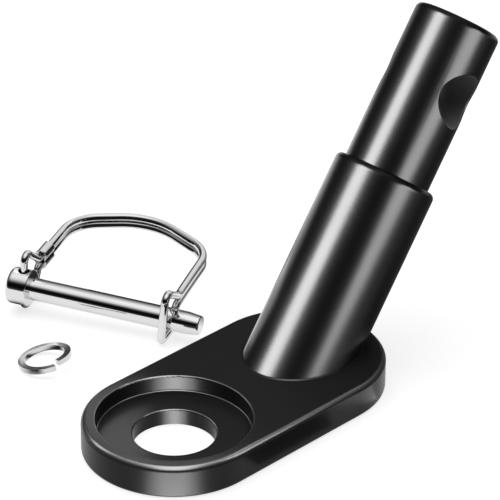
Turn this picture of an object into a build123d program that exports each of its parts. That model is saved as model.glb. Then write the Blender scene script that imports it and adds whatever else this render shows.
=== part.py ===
"""Bicycle trailer hitch with its lock pin and spring washer.

A flat axle plate carries a stepped post that leans away from the axle hole. The trailer's arm
slips over the post's stub and a lock pin through the cross hole keeps it there. The lock pin,
with its sprung wire bail closed over the tip, and the spring washer of the axle nut lie loose
on the floor beside the plate. Sizes are in millimetres and angles in degrees.
"""
import os
from math import atan, cos, degrees, radians, tan

from build123d import *
from build123d.topology import SkipClean

# Axle plate. The origin is the middle of the axle hole on the underside, X runs to the post.
plate_end_radius = 16.0
plate_centre_distance = 30.0
plate_thickness = 6.0
plate_top_round = 1.0
plate_bottom_round = 0.6
axle_hole_diameter = 14.5
axle_hole_edge_break = 0.25
nut_recess_diameter = 27.0
nut_recess_depth = 3.0
recess_rim_round = 0.3

# Post: a turned bar, cut off slanting at the foot and welded flat on the plate.
post_foot_past_centre = 2.0
post_lean = 37.0
sleeve_length = 34.5
shoulder_step = 1.5
shoulder_round = 1.2
largest_round_share = 0.8
stub_diameter = 16.0
stub_length = 30.0
stub_end_round = 1.2
cross_hole_diameter = 9.8
cross_hole_above_shoulder = 16.7
cross_hole_turn = 5.0
cross_hole_edge_break = 0.3

# Lock pin: head and shank are turned from one bar.
pin_head_diameter = 6.85
pin_head_length = 4.1
pin_head_round = 0.9
pin_rim_break = 0.2
pin_shank_diameter = 4.2
pin_shank_length = 33.25
pin_taper_length = 2.6
pin_taper_depth = 0.32
pin_taper_blend = 10.0
pin_tip_round = 0.35
bail_hole_diameter = 2.2
bail_hole_from_head_end = 2.6

# Bail: one spring wire, bent to two strands with a loop at the head and a loop at the tip.
wire_diameter = 1.5
strand_gap = 0.06
head_seat_clearance = 0.08
head_loop_headroom = 3.25
tip_loop_clearance = 0.45
tip_loop_extra_rise = 0.65
swing_clearance = 0.3
loop_spacing = 29.05
head_loop_depth = 6.6
tip_loop_depth = 4.5
tip_return_depth = 3.2
tip_return_tuck = 0.25
tip_leg_inset = 0.55
tip_loop_rake = 0.8
arch_head_side_height = 23.7
arch_crown_height = 30.05
arch_crown_from_head = 13.5
arch_tip_side_height = 21.95
arch_span = 27.8
shoulder_bend = 8.0
crown_bend = 12.0
corner_bend = 8.0
loop_bend = 1.3
head_leg_bend = 2.5
tip_leg_bend = 5.0
wire_end_gap = 0.4

# Ferrule: a short sleeve, crimped round both strands over the joint of the wire's ends.
ferrule_length = 4.1
ferrule_above_loop = 1.0
ferrule_wall = 0.45
ferrule_fit = 0.02
ferrule_edge_round = 0.2

# Spring washer: a flat bar wound as one left-handed turn, its ends sprung apart.
washer_inner_diameter = 7.45
washer_bar_width = 1.15
washer_bar_height = 0.95
washer_end_rise = 0.7
washer_split = 8.0

# Where the loose pieces lie: the pin's bail hole and the washer's middle, seen from above. The washer
# rolls about the line of its facing and pitches across it; its split is measured from that line.
pin_x = 13.0
pin_y = 52.69
pin_bearing = -65.51
washer_x = 2.4
washer_y = 35.5
washer_facing = -135.8
washer_roll = 11.5
washer_pitch = -4.5
washer_split_bearing = 32.9

# Sizes that follow from the ones above. The shoulder's round leaves some of its step flat.
sleeve_diameter = stub_diameter + 2 * shoulder_step
sleeve_edge_round = min(shoulder_round, largest_round_share * shoulder_step)
wire_radius = wire_diameter / 2
strand_offset = (wire_diameter + strand_gap) / 2
head_leg_drop = pin_head_diameter / 2 + head_seat_clearance + wire_radius
head_leg_rise = pin_head_diameter / 2 + head_loop_headroom + wire_radius
tip_leg_drop = pin_shank_diameter / 2 + tip_loop_clearance + wire_radius
bail_lift = (head_leg_rise - head_leg_drop) / 2
head_loop_half = bail_lift + head_leg_drop
tip_loop_half = bail_lift + tip_leg_drop

# The pin lies on the undersides of its two loops, so the tip is lower by their difference.
pin_dip = degrees(atan((head_leg_drop - tip_leg_drop) / loop_spacing))
pin_z = head_leg_drop * cos(radians(pin_dip)) + wire_radius
pin_place = Pos(pin_x, pin_y, pin_z) * Rot(0, 0, pin_bearing) * Rot(0, pin_dip, 0)
bail_place = pin_place * Pos(0, 0, bail_lift)


def rims(piece, radius):
    """The round edges of that radius."""
    circles = piece.edges().filter_by(GeomType.CIRCLE)
    return circles.filter_by(lambda edge: abs(edge.radius - radius) < 1e-6)


def make_hitch_plate():
    """Obround plate with rounded edges, an axle hole and a round recess for the axle nut."""
    outline = SlotCenterToCenter(plate_centre_distance, 2 * plate_end_radius)
    plate = extrude(Pos(plate_centre_distance / 2, 0) * outline, plate_thickness)
    plate = fillet(plate.edges().group_by(Axis.Z)[-1], plate_top_round)
    plate = fillet(plate.edges().group_by(Axis.Z)[0], plate_bottom_round)
    recess_radius = nut_recess_diameter / 2
    recess = Cylinder(recess_radius, 2 * nut_recess_depth)
    plate -= Pos(0, 0, plate_thickness) * recess
    plate = fillet(rims(plate, recess_radius).group_by(Axis.Z)[-1], recess_rim_round)
    plate -= Cylinder(axle_hole_diameter / 2, 2 * plate_thickness)
    return fillet(rims(plate, axle_hole_diameter / 2).group_by(Axis.Z)[-1], axle_hole_edge_break)


def make_hitch_post():
    """Stepped round bar with a cross hole, leaning over, its foot cut level with the plate's top."""
    buried = sleeve_diameter * tan(radians(post_lean))
    hole_height = sleeve_length + cross_hole_above_shoulder
    top = sleeve_length + stub_length
    shoulder = (sleeve_diameter / 2, sleeve_length)
    stub_corner = (stub_diameter / 2, top)
    half_section = make_face(Polyline(
        (0, -buried), (sleeve_diameter / 2, -buried), shoulder, (stub_diameter / 2, sleeve_length),
        (stub_diameter / 2, hole_height), stub_corner, (0, top), close=True,
    ))
    half_section = fillet(half_section.vertices().sort_by_distance(shoulder)[0], sleeve_edge_round)
    half_section = fillet(half_section.vertices().sort_by_distance(stub_corner)[0], stub_end_round)
    # The stub keeps a seam round the middle of its cross hole, so it measures as two plain stretches.
    post = revolve(Plane.XZ * half_section, Axis.Z, clean=False)
    cross_hole = Rot(90, 0, 0) * Cylinder(cross_hole_diameter / 2, 2 * stub_diameter)
    with SkipClean():
        post -= Pos(0, 0, hole_height) * Rot(0, 0, cross_hole_turn) * cross_hole
    post = fillet(post.edges().filter_by(GeomType.BSPLINE), cross_hole_edge_break)
    foot = Pos(plate_centre_distance + post_foot_past_centre, 0, plate_thickness)
    post = foot * Rot(0, post_lean, 0) * post
    return split(post, bisect_by=Plane.XY.offset(plate_thickness), keep=Keep.TOP)


def make_lock_pin():
    """Headed pin along X with the bail's hole upright through the head at the origin."""
    head_end = -bail_hole_from_head_end
    head_face = head_end + pin_head_length
    tip_end = head_face + pin_shank_length
    head_corner = (head_end, pin_head_diameter / 2)
    rim_corner = (head_face, pin_head_diameter / 2)
    shank_root = (head_face, pin_shank_diameter / 2)
    taper_corner = (tip_end - pin_taper_length, pin_shank_diameter / 2)
    tip_corner = (tip_end, pin_shank_diameter / 2 - pin_taper_depth)
    half_section = make_face(Polyline(
        (head_end, 0), head_corner, rim_corner, shank_root,
        taper_corner, tip_corner, (tip_end, 0), close=True,
    ))
    rounds = {
        head_corner: pin_head_round,
        rim_corner: pin_rim_break,
        taper_corner: pin_taper_blend,
        tip_corner: pin_tip_round,
    }
    for corner, radius in rounds.items():
        half_section = fillet(half_section.vertices().sort_by_distance(corner)[0], radius)
    pin = revolve(half_section, Axis.X)
    return pin_place * (pin - Cylinder(bail_hole_diameter / 2, 2 * pin_head_diameter))


def bail_route():
    """Corners of the wire and the bend at each, in the bail's own frame, from end to end.

    The wire starts under the ferrule, goes round the head and up through its hole, runs the
    arch as the upper strand, goes round the shank and comes back as the lower strand.
    """
    head_run = bail_hole_from_head_end + wire_radius + swing_clearance
    tip_front = -(pin_shank_diameter / 2 + tip_loop_clearance + wire_radius)
    tip_run = pin_shank_diameter / 2 + tip_loop_clearance - tip_return_tuck
    tip_leg_x = loop_spacing - tip_leg_inset
    joint = head_loop_depth + ferrule_above_loop + ferrule_length / 2
    arch = [
        (0, arch_head_side_height, shoulder_bend),
        (arch_crown_from_head, arch_crown_height, crown_bend),
        (arch_span, arch_tip_side_height, corner_bend),
    ]
    head_loop = [
        (0, head_loop_depth, -strand_offset, loop_bend),
        (0, head_run, -head_loop_half, loop_bend),
        (0, 0, -head_loop_half, loop_bend),
        (0, 0, head_loop_half, loop_bend),
        (0, head_loop_depth, strand_offset, head_leg_bend),
    ]
    tip_loop = [
        (tip_leg_x, tip_loop_depth, strand_offset, tip_leg_bend),
        (loop_spacing, tip_front, tip_loop_half + tip_loop_extra_rise, loop_bend),
        (loop_spacing - tip_loop_rake, tip_front, -tip_loop_half, loop_bend),
        (loop_spacing - tip_loop_rake, tip_run, -tip_loop_half, loop_bend),
        (tip_leg_x, tip_return_depth, -strand_offset, loop_bend),
    ]
    upper_strand = [(x, y, strand_offset, bend) for x, y, bend in arch]
    lower_strand = [(x, y, -strand_offset, bend) for x, y, bend in reversed(arch)]
    corners = head_loop + upper_strand + tip_loop + lower_strand
    first_end = (0, joint - wire_end_gap / 2, -strand_offset)
    last_end = (0, joint + wire_end_gap / 2, -strand_offset)
    points = [first_end] + [corner[:3] for corner in corners] + [last_end]
    return points, [corner[3] for corner in corners]


def make_bail_wire():
    """Round wire swept along the bail's straight runs and bends."""
    points, bends = bail_route()
    route = FilletPolyline(*points, radius=bends)
    section = Plane(origin=route @ 0, z_dir=route % 0) * Circle(wire_radius)
    return bail_place * sweep(section, path=route)


def make_bail_ferrule():
    """Crimped sleeve: a waisted tube over the two strands, just above the head's loop."""
    tube_radius = wire_radius + ferrule_wall
    outside = Pos(0, strand_offset) * Circle(tube_radius) + Pos(0, -strand_offset) * Circle(tube_radius)
    inside = SlotCenterToCenter(2 * strand_offset, wire_diameter + 2 * ferrule_fit, rotation=90)
    start = Plane(origin=(0, head_loop_depth + ferrule_above_loop, 0), x_dir=(1, 0, 0), z_dir=(0, 1, 0))
    sleeve = extrude(start * outside, ferrule_length)
    ends = sleeve.edges().group_by(Axis.Y)
    sleeve = fillet(ends[0] + ends[-1], ferrule_edge_round)
    return bail_place * (sleeve - extrude(start * inside, ferrule_length))


def make_spring_washer():
    """One turn of flat bar that winds up clockwise, leaning over with its lowest corner on the floor."""
    coil_radius = (washer_inner_diameter + washer_bar_width) / 2
    turn = 1 - washer_split / 360
    coil = Helix(pitch=washer_end_rise, height=washer_end_rise * turn, radius=coil_radius, lefthand=True)
    start = Plane(origin=coil @ 0, x_dir=(1, 0, 0), z_dir=coil % 0)
    section = start * Rectangle(washer_bar_width, washer_bar_height)
    washer = sweep(section, path=coil, is_frenet=True)
    lie = Rot(washer_roll, washer_pitch, washer_split_bearing - washer_split / 2)
    washer = Rot(0, 0, washer_facing) * lie * Pos(0, 0, -washer_end_rise / 2) * washer
    return Pos(washer_x, washer_y, -washer.bounding_box().min.Z) * washer


pieces = {
    "hitch_plate": make_hitch_plate(),
    "hitch_post": make_hitch_post(),
    "lock_pin": make_lock_pin(),
    "bail_wire": make_bail_wire(),
    "bail_ferrule": make_bail_ferrule(),
    "spring_washer": make_spring_washer(),
}

os.makedirs("parts", exist_ok=True)
for name, piece in pieces.items():
    export_step(piece, f"parts/{name}.step")
    print(name, round(piece.volume, 2), "mm3")

hinge = Plane(pin_place)
print("bail hinge at", hinge.origin, "along", hinge.z_dir)
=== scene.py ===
# %% [markdown]
# # A bicycle trailer hitch, its lock pin and its spring washer
# The hitch is a flat steel plate that the wheel's axle goes through, with a stepped post that the
# trailer's arm slips over. Beside it lie the lock pin, with its sprung wire bail, and the spring
# washer of the axle nut. The solids could be modelled again here, but then the picture and the
# construction would drift apart, so they come from the construction model and keep their places. This
# lesson gives them their finishes, adds the coat that gathers in the corners, and lights the scene.

# %% Load the construction model
import bpy
from math import cos, pi, radians, sin
from mathutils import Matrix, Vector


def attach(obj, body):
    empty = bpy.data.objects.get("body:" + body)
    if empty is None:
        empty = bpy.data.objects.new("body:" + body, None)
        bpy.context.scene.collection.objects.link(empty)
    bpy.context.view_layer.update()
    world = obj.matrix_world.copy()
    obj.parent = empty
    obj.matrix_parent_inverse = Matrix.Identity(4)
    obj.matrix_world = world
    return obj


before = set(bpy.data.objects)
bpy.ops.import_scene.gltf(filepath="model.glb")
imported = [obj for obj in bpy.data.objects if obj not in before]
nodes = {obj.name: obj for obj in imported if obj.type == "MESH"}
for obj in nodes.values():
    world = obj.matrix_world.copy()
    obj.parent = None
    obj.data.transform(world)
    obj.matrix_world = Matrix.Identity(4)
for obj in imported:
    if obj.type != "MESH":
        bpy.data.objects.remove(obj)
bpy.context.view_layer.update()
MM = 0.001
print("pieces of the construction model:", sorted(nodes))

# %% [markdown]
# ## The camera
# The picture was taken with a long lens from a little above, which shows the post almost without
# perspective. One could aim a camera by eye, or let a constraint turn it towards a target. Here the
# view was worked out from the plate's round hole, its recess and the straight edges of the post, and
# the camera's three axes are written as directions, because that keeps its small tilt exact.

# %% Camera
PICTURE_WIDTH = 500
SENSOR_WIDTH = 36.0
FOCAL_PIXELS = 3200.0
camera_spot = Vector((-323.388, -331.872, 297.648)) * MM
look = Vector((0.62613, 0.60828, -0.4878)).normalized()
across = Vector((0.69975, -0.71435, 0.0074))
across = (across - look * across.dot(look)).normalized()
upward = across.cross(look)


def into_scene(name, data):
    """A new object in the scene that shows this camera, lamp or mesh."""
    thing = bpy.data.objects.new(name, data)
    bpy.context.scene.collection.objects.link(thing)
    return thing


camera_data = bpy.data.cameras.new("view_camera")
camera_data.sensor_width = SENSOR_WIDTH
camera_data.lens = FOCAL_PIXELS * SENSOR_WIDTH / PICTURE_WIDTH
camera_data.clip_start = 0.01
camera_data.clip_end = 50.0
camera = into_scene("view_camera", camera_data)
camera_turn = Matrix((across, upward, -look)).transposed().to_4x4()
camera.matrix_world = Matrix.Translation(camera_spot) @ camera_turn
bpy.context.scene.camera = camera
print("lens", round(camera_data.lens, 1), "mm")

# %% [markdown]
# ## The grain of the coat
# A sprayed coat is never quite even: it has a fine grain, and broad clouds where it went on thicker.
# Both could be painted as pictures and wrapped round the pieces. Noise in the object's own coordinates
# needs no wrapping and stays sharp at any distance, so it is used here. It is a node group with inputs
# of its own, because several finishes use it at different scales. Three helpers come first: one adds a
# node, one feeds an input with a constant or with the output of another node, and one starts a group.


# %% Node helpers
def add_node(tree, kind, **settings):
    """Adds a node; a setting is a property of the node or the value of the input of that name."""
    node = tree.nodes.new(kind)
    for name, value in settings.items():
        plain = name.replace("_", " ").title()
        if plain in node.inputs:
            node.inputs[plain].default_value = value
        else:
            setattr(node, name, value)
    return node


def feed(tree, socket, value):
    """Sets an input to a constant, or links it to the output of another node."""
    if isinstance(value, bpy.types.NodeSocket):
        tree.links.new(value, socket)
    elif value is not None:
        socket.default_value = value


def new_group(name, inputs, outputs):
    """An empty shader node group with float inputs and outputs, and its two end nodes."""
    group = bpy.data.node_groups.new(name, "ShaderNodeTree")
    for label, value in inputs.items():
        socket = group.interface.new_socket(label, in_out="INPUT", socket_type="NodeSocketFloat")
        socket.default_value = value
    for label in outputs:
        group.interface.new_socket(label, in_out="OUTPUT", socket_type="NodeSocketFloat")
    print("group", name, "gives", outputs)
    return group, group.nodes.new("NodeGroupInput"), group.nodes.new("NodeGroupOutput")


# %% Coat grain
GRAIN_INPUTS = {"Scale": 900.0, "Depth": 3.0}
coat_grain, grain_in, grain_out = new_group("coat grain", GRAIN_INPUTS, ["Grain", "Cloud"])
place = add_node(coat_grain, "ShaderNodeTexCoord").outputs["Object"]
fine = add_node(coat_grain, "ShaderNodeTexNoise", roughness=0.5)
feed(coat_grain, fine.inputs["Vector"], place)
feed(coat_grain, fine.inputs["Scale"], grain_in.outputs["Scale"])
feed(coat_grain, fine.inputs["Detail"], grain_in.outputs["Depth"])
broad = add_node(coat_grain, "ShaderNodeTexNoise", scale=60.0, detail=2.0, roughness=0.4)
feed(coat_grain, broad.inputs["Vector"], place)
feed(coat_grain, grain_out.inputs["Grain"], fine.outputs["Fac"])
feed(coat_grain, grain_out.inputs["Cloud"], broad.outputs["Fac"])

# %% [markdown]
# ## Rubbed edges, partly painted highlights
# The sharp edges of a handled piece are rubbed first, and there a coat is thinner and lighter. On the
# black coat this lighter edge tone is also a painted highlight: it paints the thin bright lines along the
# rims. A mask for that could be painted by hand, or taken from the pointiness of the mesh, which needs
# very many faces. The Bevel node gives the normal that a rounded edge would have. Where that turns away
# from the true normal there is an edge, on any mesh, so that is the way here.


# %% Rubbed edge and painted highlight
def math_node(tree, operation, first, second=None):
    """A Math node of one or two numbers."""
    node = add_node(tree, "ShaderNodeMath", operation=operation)
    feed(tree, node.inputs[0], first)
    feed(tree, node.inputs[1], second)
    return node.outputs[0]


def vector_node(tree, operation, first, second=None):
    """A Vector Math node of one or two directions."""
    node = add_node(tree, "ShaderNodeVectorMath", operation=operation)
    feed(tree, node.inputs[0], first)
    feed(tree, node.inputs[1], second)
    gives_number = operation in ("DOT_PRODUCT", "LENGTH")
    return node.outputs["Value" if gives_number else "Vector"]


EDGE_INPUTS = {"Width": 0.0003, "Gain": 4.0}
rubbed_edge_highlight, edge_in, edge_out = new_group("rubbed edge highlight", EDGE_INPUTS, ["Edge"])
rounded = add_node(rubbed_edge_highlight, "ShaderNodeBevel", samples=6)
feed(rubbed_edge_highlight, rounded.inputs["Radius"], edge_in.outputs["Width"])
surface = add_node(rubbed_edge_highlight, "ShaderNodeNewGeometry")
turn = vector_node(rubbed_edge_highlight, "DOT_PRODUCT", rounded.outputs["Normal"], surface.outputs["Normal"])
bend = math_node(rubbed_edge_highlight, "SUBTRACT", 1.0, turn)
strong = math_node(rubbed_edge_highlight, "MULTIPLY", bend, edge_in.outputs["Gain"])
feed(rubbed_edge_highlight, edge_out.inputs["Edge"], math_node(rubbed_edge_highlight, "MINIMUM", strong, 1.0))

# %% [markdown]
# ## Fine scratches
# Handled metal carries hairlines. They could be drawn one by one as curves, but nobody looks at a single
# one. Noise that is stretched along one direction and cut off at a threshold looks like them and costs
# one texture. A Map Range node makes the cut.

# %% Fine scratches
HAIR_STRETCH = (1.0, 0.08, 0.6)
HAIR_TURN = (0.4, 0.3, 0.7)
HAIR_RANGE = (0.55, 0.75)


def spread(tree, value, from_range, to_range):
    """Maps a value from one range to another and stops at its ends."""
    node = add_node(tree, "ShaderNodeMapRange", clamp=True)
    feed(tree, node.inputs["Value"], value)
    names = ("From Min", "From Max", "To Min", "To Max")
    for name, number in zip(names, (*from_range, *to_range)):
        node.inputs[name].default_value = number
    return node.outputs["Result"]


fine_scratches, scratch_in, scratch_out = new_group("fine scratches", {"Scale": 700.0}, ["Scratch"])
place = add_node(fine_scratches, "ShaderNodeTexCoord").outputs["Object"]
stretch = add_node(fine_scratches, "ShaderNodeMapping", scale=HAIR_STRETCH, rotation=HAIR_TURN)
feed(fine_scratches, stretch.inputs["Vector"], place)
hairs = add_node(fine_scratches, "ShaderNodeTexNoise", detail=4.0, roughness=0.7)
feed(fine_scratches, hairs.inputs["Vector"], stretch.outputs["Vector"])
feed(fine_scratches, hairs.inputs["Scale"], scratch_in.outputs["Scale"])
hairlines = spread(fine_scratches, hairs.outputs["Fac"], HAIR_RANGE, (0.0, 1.0))
feed(fine_scratches, scratch_out.inputs["Scratch"], hairlines)

# %% [markdown]
# ## Where the black coat differs
# Inside the post's cross hole a lighter grey is painted light: it lifts the shade of the hollow, and the
# coat is rougher there. On the plate's rounded rims the coat is rubbed to a polish. One could give those
# faces materials of their own, but the solids aren't cut up. Two masks do it instead: the distance from
# the hole's axis tells what lies inside the hole, and the slope of the surface, between upright and
# level, tells what is a rim.

# %% Masks of the coat
LEAVES_WALL = (0.35, 0.6)
REACHES_TOP = (0.92, 0.99)
HOLE_MARGIN = (5e-5, 2e-4)


def bore_mask(tree, point, axis, radius):
    """One inside a round hole that runs through a point along an axis, nought outside it."""
    place = add_node(tree, "ShaderNodeTexCoord").outputs["Object"]
    offset = vector_node(tree, "SUBTRACT", place, point)
    reach = vector_node(tree, "LENGTH", vector_node(tree, "CROSS_PRODUCT", offset, axis))
    return spread(tree, reach, [radius + margin for margin in HOLE_MARGIN], (1.0, 0.0))


def rim_mask(tree):
    """One on a rounded upper rim, nought on upright walls and level faces."""
    slope = add_node(tree, "ShaderNodeSeparateXYZ")
    feed(tree, slope.inputs["Vector"], add_node(tree, "ShaderNodeNewGeometry").outputs["Normal"])
    leaves_wall = spread(tree, slope.outputs["Z"], LEAVES_WALL, (0.0, 1.0))
    reaches_top = spread(tree, slope.outputs["Z"], REACHES_TOP, (1.0, 0.0))
    return math_node(tree, "MULTIPLY", leaves_wall, reaches_top)


# %% [markdown]
# ## The black coat of the plate and the post
# The steel is coated black with a satin sheen. Its colour is almost nothing; what one sees are the
# reflections, softened by the coat's grain. One could lay a clear layer over a black paint. A single
# layer with a low index of refraction is enough, because this coat mirrors little when one looks straight
# at it and much at a flat angle. The roughness changes a little over the surface, and the coat is a touch
# lighter on sharp edges, partly as rubbed wear and partly as a painted highlight along the rims.


# %% Helpers for finishes
def grey(level):
    """A grey as a colour of four numbers."""
    return (level, level, level, 1.0)


def mix_colours(tree, mask, first, second):
    """The first colour where the mask is nought, the second where it is one."""
    mask_input, first_input, second_input, colour_output = 0, 6, 7, 2
    node = add_node(tree, "ShaderNodeMix", data_type="RGBA")
    feed(tree, node.inputs[mask_input], mask)
    feed(tree, node.inputs[first_input], first)
    feed(tree, node.inputs[second_input], second)
    return node.outputs[colour_output]


def place_group(tree, group, **values):
    """Puts a group into a material with its own values."""
    node = tree.nodes.new("ShaderNodeGroup")
    node.node_tree = group
    for name, value in values.items():
        node.inputs[name.capitalize()].default_value = value
    return node


def new_finish(name):
    """A material with its Principled shader; returns the material, its tree and the shader."""
    material = bpy.data.materials.new(name)
    material.use_nodes = True
    shader = material.node_tree.nodes["Principled BSDF"]
    return material, material.node_tree, shader


def add_relief(tree, shader, height, depth):
    """Tilts the shader's normal as a relief of this depth in metres would."""
    bump = add_node(tree, "ShaderNodeBump", strength=1.0, distance=depth)
    feed(tree, bump.inputs["Height"], height)
    feed(tree, shader.inputs["Normal"], bump.outputs["Normal"])


def dress(node_name, material):
    """Gives a solid of the construction model its finish."""
    solid = nodes[node_name]
    solid.data.materials.clear()
    solid.data.materials.append(material)
    print(node_name, "is finished in", material.name)


# %% Black coat
COAT_IOR = 1.22
COOL = 1.03
CLOUD_RANGE = (0.3, 0.7)
# Painted light: a lighter grey inside the cross hole, which lifts the shade of the hollow.
BORE_PAINTED_LIGHT_TONE = (0.18, 0.18, 0.182, 1.0)
BORE_ROUGHNESS = 0.2
CROSS_HOLE = ((0.0628129, 0.0, 0.0468902), (0.069606, -0.996195, -0.052452), 0.0049)


def black_coat(name, dark, light, roughness, grain_depth, polish=None, bore=None):
    """A satin black coat, dark on faces and light on edges, with a range of roughness; the light edges
    are rubbed wear and a painted highlight.

    The polish is the coat's index of refraction on rounded rims. A bore is a point on the axis of a hole,
    the axis and the radius; inside that hole a lighter grey is painted light that lifts its shade.
    """
    material, tree, shader = new_finish(name)
    grain = place_group(tree, coat_grain, scale=1100.0)
    edge = place_group(tree, rubbed_edge_highlight, width=0.0002)
    # The lighter tone on edges is rubbed wear and also a painted highlight along the rims.
    colour = mix_colours(tree, edge.outputs["Edge"], (dark, dark, dark * COOL, 1.0), grey(light))
    sheen = spread(tree, grain.outputs["Cloud"], CLOUD_RANGE, roughness)
    if bore:
        # Painted light inside the cross hole: a lighter grey where the hollow lies in shade, and a
        # rougher coat.
        inside = bore_mask(tree, *bore)
        colour = mix_colours(tree, inside, colour, BORE_PAINTED_LIGHT_TONE)
        sheen = math_node(tree, "ADD", sheen, math_node(tree, "MULTIPLY", inside, BORE_ROUGHNESS))
    feed(tree, shader.inputs["Base Color"], colour)
    feed(tree, shader.inputs["Roughness"], sheen)
    add_relief(tree, shader, grain.outputs["Grain"], grain_depth)
    shader.inputs["IOR"].default_value = COAT_IOR
    if polish:
        feed(tree, shader.inputs["IOR"], spread(tree, rim_mask(tree), (0.0, 1.0), (COAT_IOR, polish)))
    return material


# Plate and post wear one coat. The plate's lighter dark is painted light on its flat top, and the post's
# deeper dark is painted shade between its stripes.
plate_coat = black_coat("plate_black_coat", 0.013, 0.02, (0.27, 0.32), 2e-6, polish=2.2)
post_coat = black_coat("post_black_coat", 0.002, 0.010, (0.26, 0.29), 1e-6, bore=CROSS_HOLE)
bead_coat = black_coat("bead_black_coat", 0.007, 0.02, (0.27, 0.32), 2e-6, polish=1.4)
dress("hitch_plate", plate_coat)
dress("hitch_post", post_coat)

# %% [markdown]
# ## The coat that gathers in the corners
# A sprayed coat doesn't run into a sharp inner corner; it gathers there as a thin hollow bead, which
# catches the light as a fine line. It could be cut into the solids as a fillet, but they stay as they
# are. A strip of faces along the corner, curved from one wall to the other, gives the same line.

# %% Bead of coat
BEAD = 0.3 * MM
BEAD_POINTS = 7
BEAD_STEPS = [number / (BEAD_POINTS - 1) for number in range(BEAD_POINTS)]
ROUND_STEPS = 240
TURNS = [2 * pi * number / ROUND_STEPS for number in range(ROUND_STEPS)]


def new_mesh(name, points, faces, material):
    """A new mesh in the scene, in one material."""
    mesh = bpy.data.meshes.new(name)
    mesh.from_pydata(points, [], faces)
    mesh.materials.append(material)
    return into_scene(name, mesh)


def coat_bead(name, rails, coat):
    """A hollow bead along a closed line; a rail is its corner and a step along either wall."""
    ring = []
    for corner, foot, wall in rails:
        for t in BEAD_STEPS:
            ring.append(corner + foot * (1 - t) ** 2 + wall * t ** 2)
    faces = []
    for row in range(len(rails)):
        after = (row + 1) % len(rails)
        for column in range(BEAD_POINTS - 1):
            first, second = row * BEAD_POINTS + column, after * BEAD_POINTS + column
            faces.append((first, second, second + 1, first + 1))
    bead = new_mesh(name, ring, faces, coat)
    bead.data.polygons.foreach_set("use_smooth", [True] * len(faces))
    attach(bead, "hitch")
    print(name, "has", len(faces), "faces")
    return bead


# %% [markdown]
# The first bead goes round the post's foot. The post leans, so its foot is an ellipse on the plate, and
# the bead climbs along the post's axis. Its coat is a little glossier than the post's.

# %% Bead round the post's foot
LEAN = radians(37.0)
SLEEVE_RADIUS = 9.5 * MM
FOOT_CENTRE = Vector((32.0, 0.0, 6.0)) * MM
post_axis = Vector((sin(LEAN), 0.0, cos(LEAN)))
foot_rails = []
for angle in TURNS:
    corner = FOOT_CENTRE + Vector((cos(angle) / cos(LEAN), sin(angle), 0.0)) * SLEEVE_RADIUS
    outward = Vector((cos(angle) * cos(LEAN), sin(angle), 0.0)).normalized()
    foot_rails.append((corner, outward * BEAD, post_axis * BEAD))
foot_bead = coat_bead("post_foot_bead", foot_rails, bead_coat)

# %% [markdown]
# The second bead goes round the floor of the nut recess. The wall is upright there, so the bead is a
# plain ring, and it wears the plate's own coat.

# %% Bead round the recess
RECESS_RADIUS = 13.5 * MM
RECESS_FLOOR = Vector((0.0, 0.0, 3.0)) * MM
recess_rails = []
for angle in TURNS:
    outward = Vector((cos(angle), sin(angle), 0.0))
    corner = outward * RECESS_RADIUS + RECESS_FLOOR
    recess_rails.append((corner, Vector((0.0, 0.0, BEAD)), -outward * BEAD))
recess_bead = coat_bead("recess_corner_bead", recess_rails, plate_coat)

# %% [markdown]
# ## The bright plating of the lock pin and its bail
# The pin, the wire and the ferrule are plated and polished, so they mirror the pale floor and the
# darker room. A perfect mirror could stand for that, but it looks like glass. A metal with a little
# roughness, which grows along its hairlines, looks like plating. The turned pin also keeps the faintest
# rings of the lathe, made by noise along the pin's axis alone.

# %% Bright plating
CHROME = (0.70, 0.70, 0.705)
CLOUDED = 0.92
RING_SCALE = 5000.0
PLATING_DEPTH = 2e-7


def bright_plating(name, roughness, ring_axis=None):
    """Polished plating; with ring_axis, the rings of the lathe lie across that direction."""
    material, tree, shader = new_finish(name)
    shader.inputs["Metallic"].default_value = 1.0
    scratch = place_group(tree, fine_scratches, scale=900.0).outputs["Scratch"]
    grain = place_group(tree, coat_grain, scale=500.0)
    clouded = (*(part * CLOUDED for part in CHROME), 1.0)
    colour = mix_colours(tree, grain.outputs["Cloud"], (*CHROME, 1.0), clouded)
    feed(tree, shader.inputs["Base Color"], colour)
    feed(tree, shader.inputs["Roughness"], spread(tree, scratch, (0.0, 1.0), roughness))
    height = scratch
    if ring_axis:
        place = add_node(tree, "ShaderNodeTexCoord").outputs["Object"]
        rings = add_node(tree, "ShaderNodeTexNoise", noise_dimensions="1D", scale=RING_SCALE, detail=2.0)
        feed(tree, rings.inputs["W"], vector_node(tree, "DOT_PRODUCT", place, ring_axis))
        height = rings.outputs["Fac"]
    add_relief(tree, shader, height, PLATING_DEPTH)
    return material


PIN_BEARING = radians(-65.51)
PIN_DIP = radians(1.88)
pin_axis = (cos(PIN_BEARING), sin(PIN_BEARING), -sin(PIN_DIP))
dress("lock_pin", bright_plating("pin_bright_plating", (0.04, 0.08), ring_axis=pin_axis))
dress("bail_wire", bright_plating("wire_bright_plating", (0.04, 0.08)))
dress("bail_ferrule", bright_plating("ferrule_bright_plating", (0.16, 0.24)))

# %% [markdown]
# ## The plain steel of the spring washer
# The washer is wound from bar and left plain. It is duller than the plated pin, with the marks of the
# drawing die, and its corners are rubbed bright. The marks could be modelled as grooves, but they are so
# fine that a relief on the normal is enough.

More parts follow.
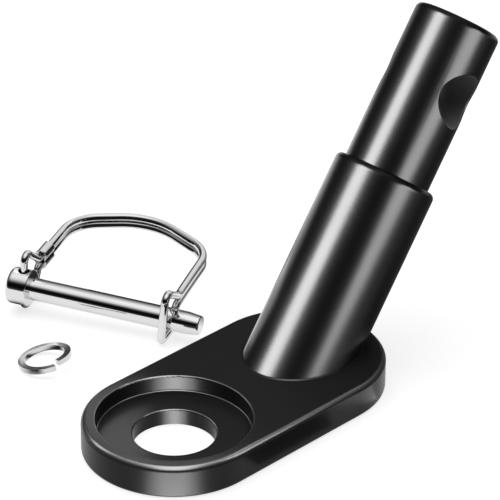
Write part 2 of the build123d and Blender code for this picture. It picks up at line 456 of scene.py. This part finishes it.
# %% Plain spring steel
STEEL = (0.62, 0.62, 0.63, 1.0)
STEEL_EDGE = grey(0.85)
STEEL_ROUGHNESS = (0.14, 0.20)
STEEL_DEPTH = 3e-6
washer_steel, washer_tree, washer_shader = new_finish("washer_plain_steel")
washer_shader.inputs["Metallic"].default_value = 1.0
washer_scratch = place_group(washer_tree, fine_scratches, scale=1800.0).outputs["Scratch"]
washer_edge = place_group(washer_tree, rubbed_edge_highlight, width=0.00015).outputs["Edge"]
washer_colour = mix_colours(washer_tree, washer_edge, STEEL, STEEL_EDGE)
washer_sheen = spread(washer_tree, washer_scratch, (0.0, 1.0), STEEL_ROUGHNESS)
feed(washer_tree, washer_shader.inputs["Base Color"], washer_colour)
feed(washer_tree, washer_shader.inputs["Roughness"], washer_sheen)
add_relief(washer_tree, washer_shader, washer_scratch, STEEL_DEPTH)
dress("spring_washer", washer_steel)

# %% [markdown]
# ## The floor
# The pieces lie on white paper. A white floor under strong lamps could show it, but then the shadows
# wash out. Here the floor is a matt grey paper that adds light of its own where the camera or a mirror
# looks at it, so it shows as white and the soft shadows stay. It reaches past every view.

# %% Floor
FLOOR_HALF = 6.0
FLOOR_DROP = 0.00002
FLOOR_TONE = 0.45
FLOOR_GLOW = 0.73


def matt_paper(name, tone):
    """A paper of one grey without any sheen; returns the material, its tree and the shader."""
    material, tree, shader = new_finish(name)
    shader.inputs["Base Color"].default_value = grey(tone)
    shader.inputs["Specular IOR Level"].default_value = 0.0
    return material, tree, shader


floor_paper, floor_tree, floor_shader = matt_paper("pale_floor_paper", FLOOR_TONE)
floor_shader.inputs["Roughness"].default_value = 1.0
floor_shader.inputs["Emission Color"].default_value = grey(1.0)
seen_by = add_node(floor_tree, "ShaderNodeLightPath")
direct = math_node(
    floor_tree, "MAXIMUM", seen_by.outputs["Is Camera Ray"], seen_by.outputs["Is Glossy Ray"]
)
direct = math_node(floor_tree, "MAXIMUM", direct, seen_by.outputs["Is Transmission Ray"])
glow = math_node(floor_tree, "MULTIPLY", direct, FLOOR_GLOW)
feed(floor_tree, floor_shader.inputs["Emission Strength"], glow)
floor_sides = [(-1, -1), (1, -1), (1, 1), (-1, 1)]
floor_points = [(x * FLOOR_HALF, y * FLOOR_HALF, -FLOOR_DROP) for x, y in floor_sides]
floor = new_mesh("pale_floor", floor_points, [(0, 1, 2, 3)], floor_paper)
print("floor", 2 * FLOOR_HALF, "m wide")

# %% [markdown]
# ## The papers of the cards
# A white floor flattens whatever mirrors it, so a photographer lays dark cards beside metal to draw its
# edges. They could all be plain black, but a small mirror then shows hard dark patches. So there are
# three papers: a black one, a grey one, and a black one with feathered borders, which turns clear from
# its middle outwards and whose reflection fades out softly.

# %% Card papers
CARD_MIDDLE = 0.5
FEATHER = (0.15, 0.5)
card_paper = matt_paper("black_card_paper", 0.04)[0]
grey_paper = matt_paper("grey_card_paper", 0.20)[0]
feathered_paper, feathered_tree, feathered_shader = matt_paper("feathered_card_paper", 0.02)
card_place = add_node(feathered_tree, "ShaderNodeTexCoord").outputs["Generated"]
card_sides = add_node(feathered_tree, "ShaderNodeSeparateXYZ")
feed(feathered_tree, card_sides.inputs["Vector"], card_place)
fades = []
for side in ("X", "Y"):
    offset = math_node(feathered_tree, "SUBTRACT", card_sides.outputs[side], CARD_MIDDLE)
    from_middle = math_node(feathered_tree, "ABSOLUTE", offset)
    fades.append(spread(feathered_tree, from_middle, FEATHER, (1.0, 0.0)))
feed(feathered_tree, feathered_shader.inputs["Alpha"], math_node(feathered_tree, "MULTIPLY", *fades))
print("papers:", [paper.name for paper in (card_paper, grey_paper, feathered_paper)])

# %% [markdown]
# ## The cards
# Cards could stand outside the picture, but small bright pieces mirror the floor right beside them. So
# the cards lie there, and only mirrors can see them: the camera looks past them and they throw no
# shadow. The large grey one darkens the right side of the post. Black ones lie along the plate and
# inside the bail, and feathered ones by the washer, inside it, under the pin's head and by the pin's
# tip. A low black one stands inside the bail, and the arch's wire draws its black bands from it.

# %% Cards
CARD_HEIGHT = 0.05


def flat_card(name, corners, paper):
    """A flat card, its corners in millimetres, seen in mirrors alone."""
    points = [Vector(corner) * MM for corner in corners]
    card = new_mesh(name, points, [range(len(corners))], paper)
    card.visible_camera = False
    card.visible_diffuse = False
    card.visible_shadow = False
    print(name, "has", len(corners), "corners")


def lying_card(name, corners, paper=card_paper):
    """A card flat on the floor."""
    flat_card(name, [(x, y, CARD_HEIGHT) for x, y in corners], paper)


def standing_card(name, start, end, height):
    """A black card that stands on the floor between two points."""
    low, high = [(*start, CARD_HEIGHT), (*end, CARD_HEIGHT)], [(*end, height), (*start, height)]
    flat_card(name, low + high, card_paper)


post_card = [(45, -180), (220, -180), (220, 60), (50, 60), (50, -24), (45, -26)]
lying_card("card_by_post", post_card, grey_paper)
lying_card("card_by_plate", [(6, -17.5), (24, -17.5), (32, -27), (6, -27)])
lying_card("card_by_washer", [(-11.0, 28.5), (-1.5, 28.5), (-1.5, 38.0), (-11.0, 38.0)], feathered_paper)
lying_card("card_in_washer", [(1.2, 35.6), (6.2, 35.6), (6.2, 39.4), (1.2, 39.4)], feathered_paper)
# Painted reflection of shade: the head mirrors this card as the floor's shade beneath it.
lying_card("card_under_head", [(8.3, 50.2), (16.3, 50.2), (16.3, 58.2), (8.3, 58.2)], feathered_paper)
lying_card("card_by_tip", [(33.0, 17.0), (47.0, 17.0), (47.0, 31.0), (33.0, 31.0)], feathered_paper)
lying_card("card_in_bail", [(21.9, 52.4), (30.2, 34.2), (41.1, 39.1), (34.7, 58.2)])
standing_card("card_by_arch", (35.5, 57.5), (43.0, 41.1), 9.0)

# %% [markdown]
# ## The room
# A studio for small bright parts is a pale floor, a large soft light overhead and a darker room
# around it: the dark band is what draws the black line along polished metal. The room could be a
# picture of a real studio. Two ramps of grey over the height need no picture, and each band is set by
# what it draws. One ramp is for the side that the picture is taken from, which is the darkest, and one
# for the far side.

# %% Room light
TOWARDS_VIEWER = (-0.717, -0.697, 0.0)
world = bpy.data.worlds.new("studio_room")
bpy.context.scene.world = world
world.use_nodes = True
room = world.node_tree
background = room.nodes["Background"]
direction = add_node(room, "ShaderNodeTexCoord").outputs["Generated"]
parts = add_node(room, "ShaderNodeSeparateXYZ")
feed(room, parts.inputs["Vector"], direction)


def height_bands(bands):
    """A ramp of room brightness over the height of the direction, from level to straight up."""
    ramp = add_node(room, "ShaderNodeValToRGB")
    feed(room, ramp.inputs["Fac"], parts.outputs["Z"])
    steps = ramp.color_ramp.elements
    while len(steps) < len(bands):
        steps.new(0.5)
    for step, (height, tone) in zip(steps, bands):
        step.position = height
        step.color = grey(tone)
    print("ramp of", len(bands), "bands")
    return ramp.outputs["Color"]


near_side = height_bands([
    (0.0, 0.15), (0.05, 0.11), (0.10, 0.06), (0.147, 0.03), (0.21, 0.012), (0.33, 0.004), (0.54, 0.004),
    (0.60, 0.015), (0.664, 0.06), (0.74, 0.24), (0.80, 0.50), (0.89, 1.0), (0.95, 1.28), (0.98, 1.30),
])
far_side = height_bands([
    (0.0, 0.04), (0.35, 0.06), (0.60, 0.28), (0.80, 0.65), (0.913, 1.0), (0.96, 1.25), (1.0, 1.30),
])
nearness = vector_node(room, "DOT_PRODUCT", direction, TOWARDS_VIEWER)
near_share = spread(room, nearness, (-0.1, 0.35), (0.0, 1.0))
feed(room, background.inputs["Color"], mix_colours(room, near_share, far_side, near_side))
background.inputs["Strength"].default_value = 1.0

# %% [markdown]
# ## The lamps
# One wide softbox overhead lights everything, and mirrors don't see it. The highlights could come from
# more lamps for everything, but a stripe meant for the post would flatten the pin. So every other lamp
# is linked to a few pieces and gives a sheen to those alone. A lamp is written as the point that it is
# seen from, the way to look, its distance, its width and height, its brightness, and then the pieces
# that it lights and those that can shade it.


# %% A soft lamp
def linked(name, pieces):
    """A collection of pieces for a lamp's links."""
    collection = bpy.data.collections.new(name)
    for piece in pieces:
        collection.objects.link(piece)
    return collection


def soft_lamp(name, aim, way, distance, size, radiance, lit=(), shaded_by=()):
    """A rectangular soft lamp, seen from aim (in millimetres) along way (sizes in metres).

    With lit, it is a sheen on those pieces alone. With shaded_by, only those stand in its way.
    """
    width, height = size
    data = bpy.data.lights.new(name, "AREA")
    data.shape = "RECTANGLE"
    data.size = width
    data.size_y = height
    data.energy = radiance * pi * width * height
    lamp = into_scene(name, data)
    way = Vector(way).normalized()
    facing = (-way).to_track_quat("-Z", "Y").to_matrix().to_4x4()
    spot = Vector(aim) * MM + way * distance
    lamp.matrix_world = Matrix.Translation(spot) @ facing
    lamp.visible_camera = False
    if lit:
        lamp.light_linking.receiver_collection = linked(name + "_lights", lit)
        lamp.visible_diffuse = False
    else:
        lamp.visible_glossy = False
    if shaded_by:
        lamp.light_linking.blocker_collection = linked(name + "_is_shaded_by", shaded_by)
    print(name, "at", [round(value, 3) for value in spot])


soft_lamp("overhead_softbox", (20, 20, 0), (-0.15, 0.2, 1.0), 0.9, (1.1, 1.1), 1.1)

# %% [markdown]
# A long dark bar wants one lamp for each stripe along it. The post has a bright stripe from the left and
# a fainter one from the front. A dim strip and a small card low behind it draw the grey sheen along its
# left contour. Their lower ends are below the floor, so only the post is left to shade them.

# %% Lamps for the post
post = [nodes["hitch_post"]]
post_middle = (52, 0, 32)
sleeve_foot = (36, 0, 14)
foot_left = (28, 7.5, 10)
low_behind = (0.25, 0.96, -0.10)
soft_lamp("left_strip", post_middle, (-0.763, 0.276, 0.585), 0.5, (0.25, 0.5), 84.0, post)
soft_lamp("front_strip", post_middle, (0.05, -0.998, 0.0), 0.5, (0.38, 0.4), 38.0, post, post)
soft_lamp("rim_strip", sleeve_foot, low_behind, 0.08, (0.07, 0.05), 1.2, post, post)
soft_lamp("foot_card", foot_left, low_behind, 0.014, (0.016, 0.02), 1.8, post, post)

# %% [markdown]
# The wall of the recess mirrors light that is thrown up from a low angle, so its lamp stands below the
# floor and only the post can shade it. Two dim strips overhead and a small card by the long side draw
# the plate's rounded rims. Three more small cards light single faces: the flat land in front of the
# recess, the land to its left, and the wall at the right end, whose card lies on the floor.

# %% Lamps for the plate
plate = [nodes["hitch_plate"], foot_bead, recess_bead]
axle_middle = (0, 0, 5)
recess_wall = (9, 9, -2.1)
front_land = (-17, -7.2, 9.5)
left_land = (-11.4, 6.4, 5)
long_edge = (-9, -15.5, 5.8)
end_wall = (33, -21.5, 3)
from_behind = (0.626, 0.608, 0.488)
soft_lamp("recess_bounce", recess_wall, (-0.626, -0.609, -0.488), 0.08, (0.05, 0.016), 180.0, plate, post)
soft_lamp("edge_strip", axle_middle, (-0.42, -0.43, 0.80), 0.5, (0.3, 0.7), 4.5, plate)
soft_lamp("edge_top", axle_middle, (0.13, 0.13, 0.98), 0.5, (0.3, 0.2), 2.5, plate)
soft_lamp("long_edge_card", long_edge, (0.63, -0.47, 0.59), 0.06, (0.012, 0.04), 5.0, plate)
soft_lamp("front_card", front_land, from_behind, 0.018, (0.05, 0.008), 3.4, plate)
soft_lamp("left_card", left_land, from_behind, 0.025, (0.015, 0.012), 2.8, plate)
soft_lamp("end_card", end_wall, (0.05, -0.05, -1.0), 0.0029, (0.014, 0.014), 2.0, plate, plate)

# %% [markdown]
# The bright pieces mostly mirror the room. A softbox on the far side lightens the bail's wire, and two
# small cards lighten the top of the pin's head and the washer.

# %% Lamps for the bright pieces
bail = [nodes["bail_wire"], nodes["bail_ferrule"]]
pin = [nodes["lock_pin"]]
washer = [nodes["spring_washer"]]
bail_middle = (35, 50, 5)
head_top = (12, 55, 8)
washer_top = (2.4, 38.6, 2.1)
soft_lamp("far_softbox", bail_middle, (0.75, 0.33, 0.45), 0.5, (0.6, 0.4), 0.75, bail)
soft_lamp("head_card", head_top, (0.5, 0.55, 0.67), 0.02, (0.006, 0.02), 0.8, pin)
soft_lamp("washer_card", washer_top, (0.559, 0.769, 0.31), 0.010, (0.0076, 0.002), 0.9, washer)

# %% [markdown]
# ## Finish
# The picture keeps plain colours.

# %% Finish
bpy.context.scene.view_settings.view_transform = "Standard"
